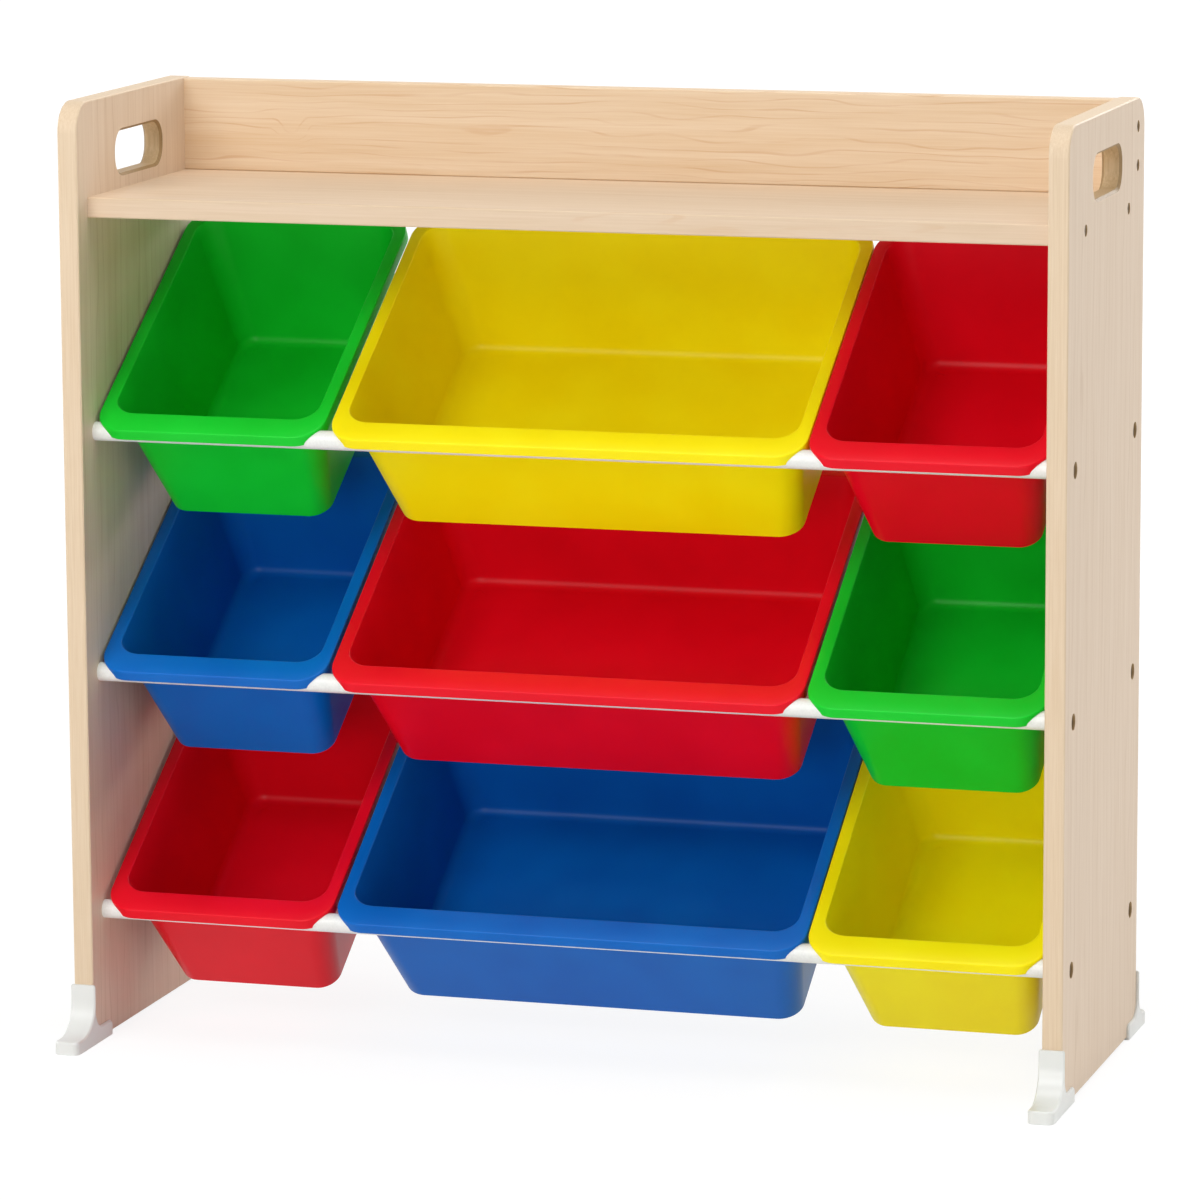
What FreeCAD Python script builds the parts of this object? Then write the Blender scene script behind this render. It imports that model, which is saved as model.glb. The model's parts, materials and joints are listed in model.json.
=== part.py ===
import FreeCAD, Part
import math
import os
import Sketcher

# Toy storage organizer: two side panels joined by a top shelf, a back board and six rails, with nine
# moulded bins that lean forward on the rails in three tiers. Millimetres, +Z up, front towards -Y.
# The origin is on the floor, in the middle of the space that the organizer takes.

doc = FreeCAD.newDocument("toy_organizer")
V = FreeCAD.Vector
X_AXIS = V(1, 0, 0)
Y_AXIS = V(0, 1, 0)
Z_AXIS = V(0, 0, 1)

# ---------------------------------------------------------------- driving dimensions
DIMENSIONS = [
    ("frame_width", 860),           # over the outer faces of the side panels
    ("board_thickness", 17),        # side panels, shelf and back board
    ("panel_depth", 288),           # side panel, front edge to rear edge
    ("panel_height", 800),
    ("panel_corner", 25),           # radius of the two top corners
    ("edge_ease", 1),               # eased edges of the boards, measured along each face
    ("slot_length", 108),           # hand slot through each side panel
    ("slot_height", 36),
    ("slot_corner", 16),
    ("slot_ease", 2.2),             # eased rim of the hand slot at both faces
    ("slot_drop", 50.5),            # slot centre below the panel's top
    ("shelf_level", 705),           # underside of the shelf above the floor
    ("shelf_setback", 22.5),        # shelf's front edge behind the panels' front edges
    ("shelf_depth", 248.5),
    ("back_board_height", 79),
    ("rail_diameter", 16),
    ("rail_wall", 1),
    ("rail_level", 111.5),          # centre of the lowest rails above the floor
    ("tier_pitch", 206),
    ("front_rail_inset", 31.4),     # rail centre behind the panel's front edge
    ("rear_rail_inset", 27.4),      # rail centre ahead of the panel's rear edge
    ("plug_flange", 1.5),           # visible collar between a tube and the side panel
    ("plug_length", 28),
    ("rail_screw_bore", 14),        # sunk bore for a rail screw's head
    ("rail_screw_sink", 5),
    ("rail_screw_shank", 5),
    ("rail_screw_head", 12),
    ("rail_screw_length", 32),
    ("board_screw_bore", 10),       # sunk bore for a shelf or back board screw's head
    ("board_screw_sink", 4),
    ("board_screw_shank", 5),
    ("board_screw_head", 9.5),
    ("board_screw_length", 50),
    ("head_height", 3),
    ("socket_width", 4),            # hexagon socket in a screw's head, across corners
    ("socket_depth", 2),
    ("shelf_screw_front", 63),      # shelf screws behind the panel's front edge
    ("shelf_screw_rear", 227.5),
    ("back_screw_low", 24),         # back board screws above the shelf's top face
    ("back_screw_high", 56.5),
    ("foot_wall", 2.5),
    ("sole_thickness", 2.5),
    ("foot_height", 51.5),
    ("front_toe", 44),              # toe's reach beyond the panel's edge
    ("rear_toe", 32),
    ("toe_height", 11),
    ("toe_corner", 6),
    ("foot_ease", 1.2),             # along the foot's outer edges
    ("front_sweep", 27),            # radius from the toe up into the foot's face
    ("rear_sweep", 20),
    ("flange_reach", 38),           # side flange along the panel's bottom edge
    ("flange_height", 13),
    ("flange_sweep", 16),
    ("flange_corner", 5),
    ("bin_lean", 32.16),            # degrees that the bins tip forward
    ("small_bin_width", 202),
    ("large_bin_width", 410.5),
    ("bin_length", 298),
    ("bin_depth", 124.5),
    ("bin_wall", 2.2),
    ("rim_thickness", 2.5),
    ("rim_corner", 26),
    ("lip_height", 9.9),
    ("lip_thickness", 2),
    ("rim_ease", 1.2),
    ("mouth_ease", 1),
    ("front_flange", 21.5),         # rim's edge to the wall's outer face, at the front
    ("side_flange", 8.5),           # the same at the sides and the rear
    ("wall_corner_top", 22),        # outer corner radius of the walls at the rim
    ("wall_corner_low", 16.5),      # and at the bottom
    ("wall_draft", 20),             # how far each wall leans in over the bin's depth
    ("base_ease", 2.5),             # where the walls meet the floor, inside and out
    ("hook_gap", 0.6),              # between the front rail and the hooked lip
    ("saddle_depth", 0.2),          # the front rail's groove in the underside of the rim
    ("seat_gap", 0.3),              # between a bin and the rails it sits on
]

sheet = doc.addObject("Spreadsheet::Sheet", "Dims")
for row, (alias, value) in enumerate(DIMENSIONS, start=1):
    cell = "B%d" % row
    sheet.set("A%d" % row, alias)
    sheet.set(cell, str(value))
    sheet.setAlias(cell, alias)
doc.recompute()
size = {alias: float(value) for alias, value in DIMENSIONS}

# Bins' places along X: the middle of each bin, as they stand side by side in each tier.
BIN_ROWS = {
    "top": [("green", "left", -310.2), ("yellow", "middle", 1.2), ("red", "right", 308.4)],
    "middle": [("blue", "left", -310.5), ("red", "middle", -1.4), ("green", "right", 307.2)],
    "bottom": [("red", "left", -308.6), ("blue", "middle", 0.8), ("yellow", "right", 308.0)],
}
TIERS = {"bottom": 0, "middle": 1, "top": 2}
sub_parts = []

# Shared expressions, in the sheet's words. The panels stand behind the origin by half the difference of
# the toes, so that the origin is in the middle of the floor space.
PANEL_FRONT = "((Dims.front_toe - Dims.rear_toe) / 2 - Dims.panel_depth / 2)"
PANEL_REAR = "((Dims.front_toe - Dims.rear_toe) / 2 + Dims.panel_depth / 2)"
INNER_HALF = "(Dims.frame_width / 2 - Dims.board_thickness)"
SHELF_TOP = "(Dims.shelf_level + Dims.board_thickness)"
SHELF_REAR = "(%s + Dims.shelf_setback + Dims.shelf_depth)" % PANEL_FRONT


def bind(thing, **expressions):
    """Ties properties of an object to the sheet: a name with __ stands for a dotted property path."""
    for path, expression in expressions.items():
        thing.setExpression(path.replace("__", "."), expression)


def place(thing, x="0", y="0", z="0"):
    """Ties the place of an object to the sheet."""
    bind(thing, Placement__Base__x=x, Placement__Base__y=y, Placement__Base__z=z)


def new_body(label):
    body = doc.addObject("PartDesign::Body", label)
    body.Label = label
    sub_parts.append(body)
    return body


def new_sketch(body, name, plane, level="0"):
    """A sketch on one of the body's own origin planes, lifted along the plane's normal by level."""
    sketch = body.newObject("Sketcher::SketchObject", body.Label + "_" + name)
    origin_plane = [f for f in body.Origin.OriginFeatures if f.Role == plane][0]
    sketch.AttachmentSupport = [(origin_plane, "")]
    sketch.MapMode = "FlatFace"
    sketch.setExpression("AttachmentOffset.Base.z", level)
    return sketch


def dimension(sketch, kind, *where, tied_to):
    """Adds one dimension to a sketch and ties it to the sheet."""
    index = sketch.addConstraint(Sketcher.Constraint(kind, *where, number(tied_to)))
    sketch.setExpression("Constraints[%d]" % index, tied_to)


def chain(sketch, corners):
    """Draws straight lines through the corners and back to the first; returns the lines' numbers."""
    lines = []
    for start, end in zip(corners, corners[1:] + corners[:1]):
        lines.append(sketch.addGeometry(Part.LineSegment(V(*start, 0), V(*end, 0))))
    for one, after in zip(lines, lines[1:] + lines[:1]):
        sketch.addConstraint(Sketcher.Constraint("Coincident", one, 2, after, 1))
    return lines


def number(expression):
    """The present value of an expression in the sheet's words."""
    words = expression.replace("Dims.", "")
    for alias in sorted(size, key=len, reverse=True):
        words = words.replace(alias, repr(size[alias]))
    return float(FreeCAD.Units.Quantity(words).Value)


def rounded_rectangle(sketch, left, right, near, far, corner):
    """A rectangle with equal round corners; its four sides and radius follow expressions."""
    x0, x1, y0, y1, r = [number(e) for e in (left, right, near, far, corner)]
    bottom = sketch.addGeometry(Part.LineSegment(V(x0 + r, y0, 0), V(x1 - r, y0, 0)))
    side_right = sketch.addGeometry(Part.LineSegment(V(x1, y0 + r, 0), V(x1, y1 - r, 0)))
    top = sketch.addGeometry(Part.LineSegment(V(x1 - r, y1, 0), V(x0 + r, y1, 0)))
    side_left = sketch.addGeometry(Part.LineSegment(V(x0, y1 - r, 0), V(x0, y0 + r, 0)))
    sides = [bottom, side_right, top, side_left]
    centres = [(x1 - r, y0 + r), (x1 - r, y1 - r), (x0 + r, y1 - r), (x0 + r, y0 + r)]
    arcs = []
    for turn, (cx, cy) in enumerate(centres):
        start = math.pi * (1.5 + 0.5 * turn)
        circle = Part.Circle(V(cx, cy, 0), Z_AXIS, r)
        arcs.append(sketch.addGeometry(Part.ArcOfCircle(circle, start, start + math.pi / 2)))
    for turn in range(4):
        sketch.addConstraint(Sketcher.Constraint("Tangent", sides[turn], 2, arcs[turn], 1))
        sketch.addConstraint(Sketcher.Constraint("Tangent", arcs[turn], 2, sides[(turn + 1) % 4], 1))
    for line in (bottom, top):
        sketch.addConstraint(Sketcher.Constraint("Horizontal", line))
    for line in (side_right, side_left):
        sketch.addConstraint(Sketcher.Constraint("Vertical", line))
    for arc in arcs[1:]:
        sketch.addConstraint(Sketcher.Constraint("Equal", arcs[0], arc))
    dimension(sketch, "Radius", arcs[0], tied_to=corner)
    dimension(sketch, "DistanceX", -1, 1, side_left, 1, tied_to=left)
    dimension(sketch, "DistanceX", -1, 1, side_right, 1, tied_to=right)
    dimension(sketch, "DistanceY", -1, 1, bottom, 1, tied_to=near)
    dimension(sketch, "DistanceY", -1, 1, top, 1, tied_to=far)


def circle_at(sketch, across, up, diameter):
    """A circle whose centre and diameter follow expressions."""
    centre = V(number(across), number(up), 0)
    ring = sketch.addGeometry(Part.Circle(centre, Z_AXIS, number(diameter) / 2))
    dimension(sketch, "Diameter", ring, tied_to=diameter)
    dimension(sketch, "DistanceX", -1, 1, ring, 3, tied_to=across)
    dimension(sketch, "DistanceY", -1, 1, ring, 3, tied_to=up)


def pad(body, sketch, length, reverse=False, midplane=False):
    feature = body.newObject("PartDesign::Pad", sketch.Label + "_pad")
    feature.Profile = sketch
    feature.Reversed = reverse
    if midplane:
        feature.SideType = "Symmetric"
    bind(feature, Length=length)
    sketch.Visibility = False
    return feature


def pocket(body, sketch, length=None, reverse=False, midplane=False):
    """Cuts the sketch into the body by length, or right through it."""
    doc.recompute()
    before = body.Shape.Volume
    feature = body.newObject("PartDesign::Pocket", sketch.Label + "_cut")
    feature.Profile = sketch
    feature.Reversed = reverse
    if midplane:
        feature.SideType = "Symmetric"
    if length is None:
        feature.Type = "ThroughAll"
    else:
        bind(feature, Length=length)
    doc.recompute()
    assert body.Shape.Volume < before - 1, sketch.Label + " cuts nothing"
    return feature


def dress_edges(body, kind, name, wanted):
    """Adds a fillet or chamfer along the edges of the body that the test wanted picks."""
    doc.recompute()
    base = body.Tip
    names = ["Edge%d" % (i + 1) for i, edge in enumerate(base.Shape.Edges) if wanted(edge)]
    assert names, body.Label + ": no edges for " + name
    feature = body.newObject("PartDesign::" + kind, body.Label + "_" + name)
    feature.Base = (base, names)
    return feature


def round_edges(body, name, radius, wanted):
    bind(dress_edges(body, "Fillet", name, wanted), Radius=radius)
    doc.recompute()


def ease_edges(body, name, width, wanted):
    bind(dress_edges(body, "Chamfer", name, wanted), Size=width)
    doc.recompute()


def level_edge(edge, level):
    """True for an edge that lies flat at one height."""
    return all(abs(vertex.Z - level) < 0.01 for vertex in edge.Vertexes) and edge.BoundBox.ZLength < 0.01


# ---------------------------------------------------------------- side panels
# Wood-grain laminated boards with rounded top corners, a hand slot, and sunk bores in the outer face
# for the screws of the rails, the shelf and the back board.
RAIL_HEIGHTS = ["(Dims.rail_level + %d * Dims.tier_pitch)" % tier for tier in range(3)]
RAIL_PLACES = []
for rail_height in RAIL_HEIGHTS:
    RAIL_PLACES.append(("Dims.front_rail_inset", rail_height))
    RAIL_PLACES.append(("(Dims.panel_depth - Dims.rear_rail_inset)", rail_height))
SHELF_MIDDLE = "(Dims.shelf_level + Dims.board_thickness / 2)"
SHELF_SCREWS = [("Dims.shelf_screw_front", SHELF_MIDDLE), ("Dims.shelf_screw_rear", SHELF_MIDDLE)]
BACK_MIDDLE = "(Dims.shelf_setback + Dims.shelf_depth - Dims.board_thickness / 2)"
BACK_SCREWS = [
    (BACK_MIDDLE, SHELF_TOP + " + Dims.back_screw_low"),
    (BACK_MIDDLE, SHELF_TOP + " + Dims.back_screw_high"),
]


def side_panel(label, side):
    """side is -1 for the left panel and 1 for the right; the sketches lie on its outer face."""
    body = new_body(label)
    inward = side > 0
    outline = new_sketch(body, "outline", "YZ_Plane")
    depth, height, corner = size["panel_depth"], size["panel_height"], size["panel_corner"]
    low = outline.addGeometry(Part.LineSegment(V(0, 0, 0), V(depth, 0, 0)))
    rear = outline.addGeometry(Part.LineSegment(V(depth, 0, 0), V(depth, height - corner, 0)))
    rear_turn = outline.addGeometry(Part.ArcOfCircle(
        Part.Circle(V(depth - corner, height - corner, 0), Z_AXIS, corner), 0, math.pi / 2))
    top = outline.addGeometry(Part.LineSegment(V(depth - corner, height, 0), V(corner, height, 0)))
    front_turn = outline.addGeometry(Part.ArcOfCircle(
        Part.Circle(V(corner, height - corner, 0), Z_AXIS, corner), math.pi / 2, math.pi))
    front = outline.addGeometry(Part.LineSegment(V(0, height - corner, 0), V(0, 0, 0)))
    outline.addConstraint(Sketcher.Constraint("Coincident", low, 2, rear, 1))
    outline.addConstraint(Sketcher.Constraint("Coincident", front, 2, low, 1))
    for one, after in ((rear, rear_turn), (rear_turn, top), (top, front_turn), (front_turn, front)):
        outline.addConstraint(Sketcher.Constraint("Tangent", one, 2, after, 1))
    outline.addConstraint(Sketcher.Constraint("Coincident", -1, 1, low, 1))
    outline.addConstraint(Sketcher.Constraint("Horizontal", low))
    outline.addConstraint(Sketcher.Constraint("Horizontal", top))
    outline.addConstraint(Sketcher.Constraint("Vertical", rear))
    outline.addConstraint(Sketcher.Constraint("Vertical", front))
    outline.addConstraint(Sketcher.Constraint("Equal", rear_turn, front_turn))
    dimension(outline, "Radius", front_turn, tied_to="Dims.panel_corner")
    dimension(outline, "DistanceX", -1, 1, rear, 1, tied_to="Dims.panel_depth")
    dimension(outline, "DistanceY", -1, 1, top, 1, tied_to="Dims.panel_height")
    pad(body, outline, "Dims.board_thickness", reverse=inward)

    slot = new_sketch(body, "slot", "YZ_Plane")
    middle = "(Dims.panel_height - Dims.slot_drop)"
    rounded_rectangle(
        slot,
        "Dims.panel_depth / 2 - Dims.slot_length / 2", "Dims.panel_depth / 2 + Dims.slot_length / 2",
        middle + " - Dims.slot_height / 2", middle + " + Dims.slot_height / 2",
        "Dims.slot_corner",
    )
    pocket(body, slot, reverse=not inward)

    groups = (
        ("rail", RAIL_PLACES, "Dims.rail_screw_shank", "Dims.rail_screw_bore", "Dims.rail_screw_sink"),
        ("board", SHELF_SCREWS + BACK_SCREWS,
         "Dims.board_screw_shank", "Dims.board_screw_bore", "Dims.board_screw_sink"),
    )
    for name, places, shank, bore, sink in groups:
        through = new_sketch(body, name + "_holes", "YZ_Plane")
        sunk = new_sketch(body, name + "_bores", "YZ_Plane")
        for across, up in places:
            up_panel = up + " - Dims.sole_thickness"
            circle_at(through, across, up_panel, shank)
            circle_at(sunk, across, up_panel, bore)
        pocket(body, through, reverse=not inward)
        pocket(body, sunk, length=sink, reverse=not inward)

    def outline_edge(edge):
        box = edge.BoundBox
        at_front_or_rear = box.YMax < 0.01 or box.YMin > depth - 0.01
        at_top = box.ZMin > height - corner - 0.01
        return box.XLength < 0.01 and box.ZMax > 1 and (at_front_or_rear or at_top)

    def slot_edge(edge):
        box = edge.BoundBox
        beside = abs(box.Center.y - depth / 2) < size["slot_length"] / 2 + 1
        level = abs(box.Center.z - height + size["slot_drop"]) < size["slot_height"] / 2 + 1
        return box.XLength < 0.01 and beside and level

    ease_edges(body, "eased_edges", "Dims.edge_ease", outline_edge)
    ease_edges(body, "eased_slot", "Dims.slot_ease", slot_edge)
    place(body, x="%d * Dims.frame_width / 2" % side, y=PANEL_FRONT, z="Dims.sole_thickness")
    return body


side_panel("left_side_panel", -1)
side_panel("right_side_panel", 1)


# ---------------------------------------------------------------- shelf and back board
# Plain laminated boards between the panels. Screws through the panels enter the bores in their ends.
def cross_board(label, depth, height, level, front, bores):
    """A board across the organizer; bores are screw places from its own front lower edge."""
    body = new_body(label)
    outline = new_sketch(body, "outline", "YZ_Plane")
    lines = chain(outline, [(0, 0), (number(depth), 0), (number(depth), number(height)), (0, number(height))])
    for index, kind in enumerate(("Horizontal", "Vertical", "Horizontal", "Vertical")):
        outline.addConstraint(Sketcher.Constraint(kind, lines[index]))
    outline.addConstraint(Sketcher.Constraint("Coincident", -1, 1, lines[0], 1))
    dimension(outline, "DistanceX", -1, 1, lines[1], 1, tied_to=depth)
    dimension(outline, "DistanceY", -1, 1, lines[2], 1, tied_to=height)
    pad(body, outline, "2 * " + INNER_HALF, midplane=True)
    board_grip = "Dims.board_screw_length - Dims.board_thickness + Dims.board_screw_sink"
    for side, name in ((-1, "left_bores"), (1, "right_bores")):
        ends = new_sketch(body, name, "YZ_Plane", level="%d * %s" % (side, INNER_HALF))
        for across, up in bores:
            circle_at(ends, across, up, "Dims.board_screw_shank")
        pocket(body, ends, length=board_grip, reverse=side < 0)

    ease_edges(body, "eased_edges", "Dims.edge_ease", lambda e: e.BoundBox.XLength > size["frame_width"] / 2)
    place(body, y=front, z=level)
    return body


half_board = "Dims.board_thickness / 2"
cross_board(
    "top_shelf", "Dims.shelf_depth", "Dims.board_thickness", "Dims.shelf_level",
    PANEL_FRONT + " + Dims.shelf_setback",
    [("Dims.shelf_screw_front - Dims.shelf_setback", half_board),
     ("Dims.shelf_screw_rear - Dims.shelf_setback", half_board)],
)
cross_board(
    "back_board", "Dims.board_thickness", "Dims.back_board_height", SHELF_TOP,
    SHELF_REAR + " - Dims.board_thickness",
    [(half_board, "Dims.back_screw_low"), (half_board, "Dims.back_screw_high")],
)


# ---------------------------------------------------------------- rails, end plugs and screws
# Each rail is a white coated steel tube. A plastic plug with a collar closes each end and takes the
# screw that comes through the side panel.
def cylinder(name, radius, height, start="0"):
    """A cylinder up the local Z axis from start."""
    solid = doc.addObject("Part::Cylinder", name)
    bind(solid, Radius=radius, Height=height, Placement__Base__z=start)
    return solid


def minus(name, base, tool):
    solid = doc.addObject("Part::Cut", name)
    solid.Base = base
    solid.Tool = tool
    return solid


def plus(name, pieces):
    solid = doc.addObject("Part::MultiFuse", name)
    solid.Shapes = pieces
    return solid


def turn(thing, axis, angle):
    thing.Placement = FreeCAD.Placement(V(0, 0, 0), FreeCAD.Rotation(axis, angle))


TUBE_HALF = "(%s - Dims.plug_flange)" % INNER_HALF
BORE_RADIUS = "Dims.rail_diameter / 2 - Dims.rail_wall"


def rail(label, row_y, row_z):
    outer = cylinder(label + "_outside", "Dims.rail_diameter / 2", "2 * " + TUBE_HALF)
    inner = cylinder(label + "_bore", BORE_RADIUS, "2 * " + TUBE_HALF)
    tube = minus(label, outer, inner)
    tube.Label = label
    turn(tube, Y_AXIS, 90)
    place(tube, x="-" + TUBE_HALF, y=row_y, z=row_z)
    sub_parts.append(tube)


FRONT_ROW = "%s + Dims.front_rail_inset" % PANEL_FRONT
REAR_ROW = "%s - Dims.rear_rail_inset" % PANEL_REAR
for tier_name, tier in TIERS.items():
    rail("front_rail_" + tier_name, FRONT_ROW, RAIL_HEIGHTS[tier])
    rail("rear_rail_" + tier_name, REAR_ROW, RAIL_HEIGHTS[tier])


def end_plug(name, side, row_y, row_z):
    """A plug whose collar lies against the panel and whose stem fills the end of the tube."""
    collar = cylinder(name + "_collar", "Dims.rail_diameter / 2", "Dims.plug_flange")
    stem = cylinder(name + "_stem", BORE_RADIUS, "Dims.plug_length")
    hole = cylinder(name + "_hole", "Dims.rail_screw_shank / 2", "Dims.plug_length")
    plug = minus(name, plus(name + "_body", [collar, stem]), hole)
    turn(plug, Y_AXIS, -90 * side)
    place(plug, x="%d * %s" % (side, INNER_HALF), y=row_y, z=row_z)
    return plug


def screw(name, side, kind, row_y, row_z):
    """A flat-headed screw in its sunk bore: head outwards, shank through the panel and inwards."""
    head_seat = "(Dims.%s_screw_sink - Dims.head_height)" % kind
    head = cylinder(name + "_head", "Dims.%s_screw_head / 2" % kind, "Dims.head_height", head_seat)
    shank = cylinder(
        name + "_shank", "Dims.%s_screw_shank / 2" % kind,
        "Dims.%s_screw_length" % kind, "Dims.%s_screw_sink" % kind,
    )
    socket = doc.addObject("Part::Prism", name + "_socket")
    socket.Polygon = 6
    bind(socket, Circumradius="Dims.socket_width / 2", Height="Dims.socket_depth")
    place(socket, z=head_seat)
    solid = minus(name, plus(name + "_body", [head, shank]), socket)
    turn(solid, Y_AXIS, -90 * side)
    place(solid, x="%d * Dims.frame_width / 2" % side, y=row_y, z=row_z)
    return solid


def group(label, members):
    """Like pieces that share one name, each a solid of its own."""
    compound = doc.addObject("Part::Compound", label)
    compound.Label = label
    compound.Links = members
    sub_parts.append(compound)


for side, side_name in ((-1, "left"), (1, "right")):
    plugs = []
    rail_screws = []
    for place_number, (inset, height_above) in enumerate(RAIL_PLACES, start=1):
        row_y = "%s + %s" % (PANEL_FRONT, inset)
        plugs.append(end_plug("plug_%s_%d" % (side_name, place_number), side, row_y, height_above))
        rail_screws.append(
            screw("rail_screw_%s_%d" % (side_name, place_number), side, "rail", row_y, height_above))
    group("rail_plugs_" + side_name, plugs)
    group("rail_screws_" + side_name, rail_screws)
    for board, places in (("shelf", SHELF_SCREWS), ("back_board", BACK_SCREWS)):
        screws = []
        for place_number, (inset, height_above) in enumerate(places, start=1):
            screws.append(screw(
                "%s_screw_%s_%d" % (board, side_name, place_number), side, "board",
                "%s + %s" % (PANEL_FRONT, inset), height_above))
        group("%s_screws_%s" % (board, side_name), screws)


# ---------------------------------------------------------------- feet
# White moulded caps on the panels' lower corners. Each wraps the edge, sweeps out into a toe that
# steadies the organizer, and runs back along the bottom as two low side flanges and a sole.
def foot(label, side, rear):
    """Modelled as a front foot: local +Y runs back from the panel's edge, the toe points to -Y."""
    body = new_body(label)
    reach = "Dims.rear_toe" if rear else "Dims.front_toe"
    sweep_radius = "Dims.rear_sweep" if rear else "Dims.front_sweep"
    toe, wall, height = number(reach), size["foot_wall"], size["foot_height"]
    toe_top, sweep, back = size["toe_height"], number(sweep_radius), size["flange_reach"]
    flange, curve, corner = size["flange_height"], size["flange_sweep"], size["flange_corner"]
    outline = new_sketch(body, "profile", "YZ_Plane")

    def line(start, end):
        return outline.addGeometry(Part.LineSegment(V(*start, 0), V(*end, 0)))

    def arc(centre, radius, first, last):
        circle = Part.Circle(V(*centre, 0), Z_AXIS, radius)
        return outline.addGeometry(
            Part.ArcOfCircle(circle, math.radians(first), math.radians(last)))

    sole = line((-toe, 0), (back, 0))
    end = line((back, 0), (back, flange - corner))
    end_turn = arc((back - corner, flange - corner), corner, 0, 90)
    flange_top = line((back - corner, flange), (curve, flange))
    back_sweep = arc((curve, flange + curve), curve, 180, 270)
    back_edge = line((0, flange + curve), (0, height))
    top = line((0, height), (-wall, height))
    face = line((-wall, height), (-wall, toe_top + sweep))
    front_sweep = arc((-wall - sweep, toe_top + sweep), sweep, 270, 360)
    toe_line = line((-wall - sweep, toe_top), (-toe, toe_top))
    nose = line((-toe, toe_top), (-toe, 0))
    for one, after in ((sole, end), (back_edge, top), (top, face), (toe_line, nose), (nose, sole)):
        outline.addConstraint(Sketcher.Constraint("Coincident", one, 2, after, 1))
    for one, one_end, other, other_end in (
        (end, 2, end_turn, 1), (end_turn, 2, flange_top, 1),
        (flange_top, 2, back_sweep, 2), (back_sweep, 1, back_edge, 1),
        (face, 2, front_sweep, 2), (front_sweep, 1, toe_line, 1),
    ):
        outline.addConstraint(Sketcher.Constraint("Tangent", one, one_end, other, other_end))
    for flat in (sole, flange_top, top, toe_line):
        outline.addConstraint(Sketcher.Constraint("Horizontal", flat))
    for upright in (end, back_edge, face, nose):
        outline.addConstraint(Sketcher.Constraint("Vertical", upright))
    outline.addConstraint(Sketcher.Constraint("PointOnObject", sole, 1, -1))
    outline.addConstraint(Sketcher.Constraint("PointOnObject", back_edge, 2, -2))
    dimension(outline, "DistanceX", sole, 1, -1, 1, tied_to=reach)
    dimension(outline, "DistanceX", -1, 1, sole, 2, tied_to="Dims.flange_reach")
    dimension(outline, "DistanceX", top, 2, -1, 1, tied_to="Dims.foot_wall")
    dimension(outline, "DistanceY", -1, 1, top, 1, tied_to="Dims.foot_height")
    dimension(outline, "DistanceY", -1, 1, toe_line, 1, tied_to="Dims.toe_height")
    dimension(outline, "DistanceY", -1, 1, flange_top, 1, tied_to="Dims.flange_height")
    dimension(outline, "Radius", front_sweep, tied_to=sweep_radius)
    dimension(outline, "Radius", back_sweep, tied_to="Dims.flange_sweep")
    dimension(outline, "Radius", end_turn, tied_to="Dims.flange_corner")
    pad(body, outline, "Dims.board_thickness + 2 * Dims.foot_wall", midplane=True)

    def nose_corner(edge):
        return edge.BoundBox.ZLength > 1 and edge.BoundBox.YMax < -toe + 0.01

    def outer_edge(edge):
        box = edge.BoundBox
        return box.XLength < size["toe_corner"] + 0.01 and box.ZMax > 0.01 and box.YMax < 0.01

    round_edges(body, "nose_corners", "Dims.toe_corner", nose_corner)
    ease_edges(body, "outer_edges", "Dims.foot_ease", outer_edge)
    channel = new_sketch(body, "channel", "YZ_Plane")
    past, above, floor = back + 10, height + 10, size["sole_thickness"]
    lines = chain(channel, [(0, floor), (past, floor), (past, above), (0, above)])
    for index, kind in enumerate(("Horizontal", "Vertical", "Horizontal", "Vertical")):
        channel.addConstraint(Sketcher.Constraint(kind, lines[index]))
    dimension(channel, "DistanceY", -1, 1, lines[0], 1, tied_to="Dims.sole_thickness")
    dimension(channel, "DistanceY", -1, 1, lines[2], 1, tied_to="Dims.foot_height + 10")
    dimension(channel, "DistanceX", -1, 1, lines[1], 1, tied_to="Dims.flange_reach + 10")
    channel.addConstraint(Sketcher.Constraint("PointOnObject", lines[0], 1, -2))
    pocket(body, channel, length="Dims.board_thickness", midplane=True)
    middle = "(Dims.frame_width / 2 - Dims.board_thickness / 2)"
    if rear:
        turn(body, Z_AXIS, 180)
    place(body, x="%d * %s" % (side, middle), y=PANEL_REAR if rear else PANEL_FRONT)
    return body


foot("front_left_foot", -1, False)
foot("front_right_foot", 1, False)
foot("rear_left_foot", -1, True)
foot("rear_right_foot", 1, True)


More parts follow.
